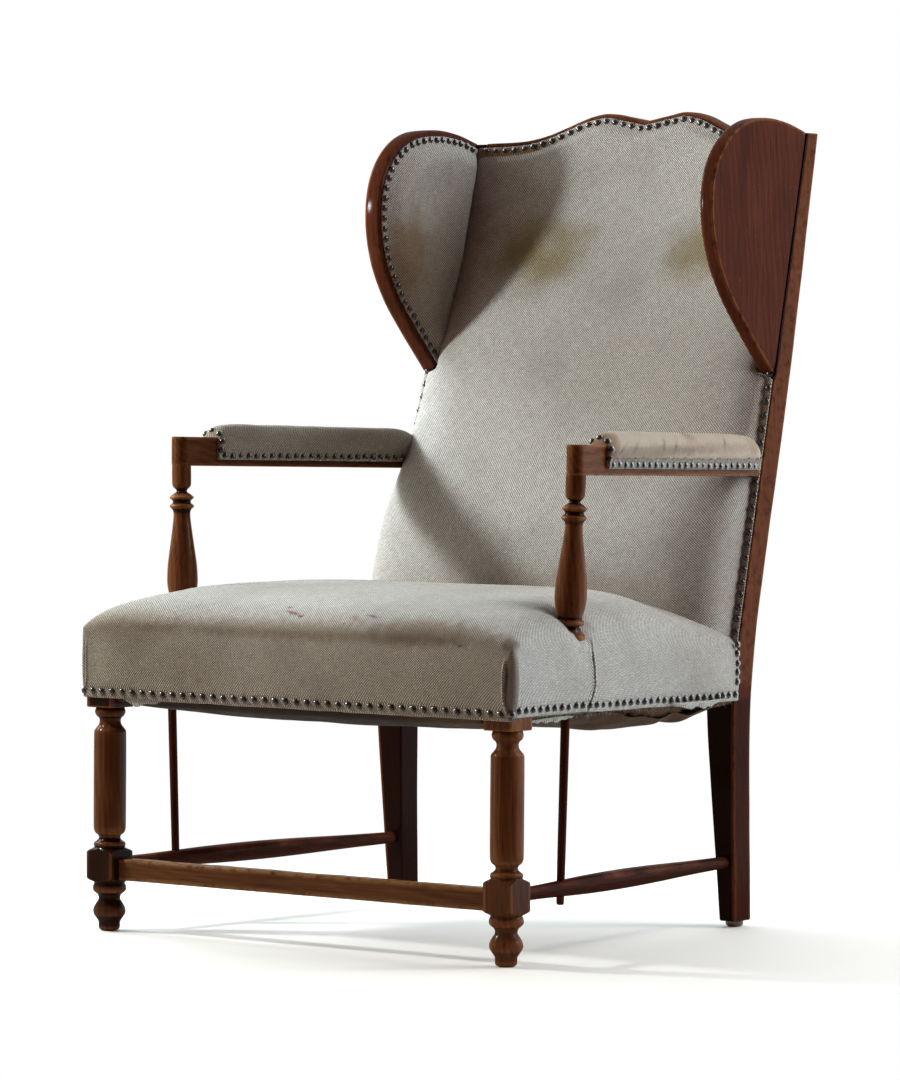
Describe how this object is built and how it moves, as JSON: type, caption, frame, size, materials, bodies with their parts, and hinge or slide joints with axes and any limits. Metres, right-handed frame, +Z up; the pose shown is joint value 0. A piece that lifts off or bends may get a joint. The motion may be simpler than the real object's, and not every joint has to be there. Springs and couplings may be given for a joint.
{
  "type": "wing armchair",
  "caption": "Tall wing-back armchair with turned wood frame, nailed fabric covers and a sagging sprung seat.",
  "frame": {"origin": "middle of the chair's footprint box, on the floor", "axes": "+Z up, -Y towards the front of the seat, +X to the right of someone looking at its front"},
  "size_m": [0.7188, 0.8252, 1.1168],
  "materials": {
    "frame_wood": "red-brown stained beech, worn satin varnish",
    "worn_wood": "the same beech with the stain worn off on top",
    "rail_wood": "raw beech, dusty and dark with age",
    "cover_cloth": "grey-beige basket weave, soiled and faded",
    "muslin": "thin cream undercloth, stained and scratched",
    "stuffing": "matted horsehair and flock",
    "jute": "coarse jute webbing and hessian",
    "base_cloth": "thin dark brown dust cloth, torn",
    "spring_steel": "dull coppered spring wire",
    "glide_steel": "small dark steel glide",
    "nail_bronze": "dark antiqued domed upholstery nails"
  },
  "bodies": {
    "root": {"front_leg_right": "frame_wood", "front_leg_left": "frame_wood", "rear_post_right": "frame_wood", "rear_post_left": "frame_wood", "rear_glide_right": "glide_steel", "rear_glide_left": "glide_steel", "side_stretcher_right": "frame_wood", "side_stretcher_left": "frame_wood", "lower_spindle_right": "frame_wood", "lower_spindle_left": "frame_wood", "arm_post_right": "frame_wood", "arm_post_left": "frame_wood", "arm_rail_right": "frame_wood", "arm_rail_left": "frame_wood", "wing_board_right": "frame_wood", "wing_board_left": "frame_wood", "seat_rail_right": "rail_wood", "seat_rail_left": "rail_wood", "arm_stuffing_right": "stuffing", "arm_stuffing_left": "stuffing", "wing_stuffing_right": "stuffing", "wing_stuffing_left": "stuffing", "wing_cover_right": "cover_cloth", "wing_cover_left": "cover_cloth", "front_stretcher": "worn_wood", "crest_rail": "frame_wood", "seat_rail_front": "rail_wood", "seat_rail_back": "rail_wood", "back_rail": "rail_wood", "spring_hessian": "jute", "seat_stuffing": "stuffing", "seat_cover": "cover_cloth", "base_cloth": "base_cloth", "back_hessian": "jute", "back_stuffing": "stuffing", "back_cover": "cover_cloth", "outside_back_cover": "cover_cloth", "arm_cover_right": "muslin", "arm_cover_left": "cover_cloth", "seat_strap_across_1": "jute", "seat_strap_across_2": "jute", "seat_strap_across_3": "jute", "seat_strap_along_1": "jute", "seat_strap_along_2": "jute", "seat_strap_along_3": "jute", "seat_strap_along_4": "jute", "seat_spring_1": "spring_steel", "seat_spring_2": "spring_steel", "seat_spring_3": "spring_steel", "seat_spring_4": "spring_steel", "seat_spring_5": "spring_steel", "seat_spring_6": "spring_steel", "back_strap_1": "jute", "back_strap_2": "jute", "back_strap_3": "jute", "back_strap_4": "jute"}
  },
  "joints": []
}
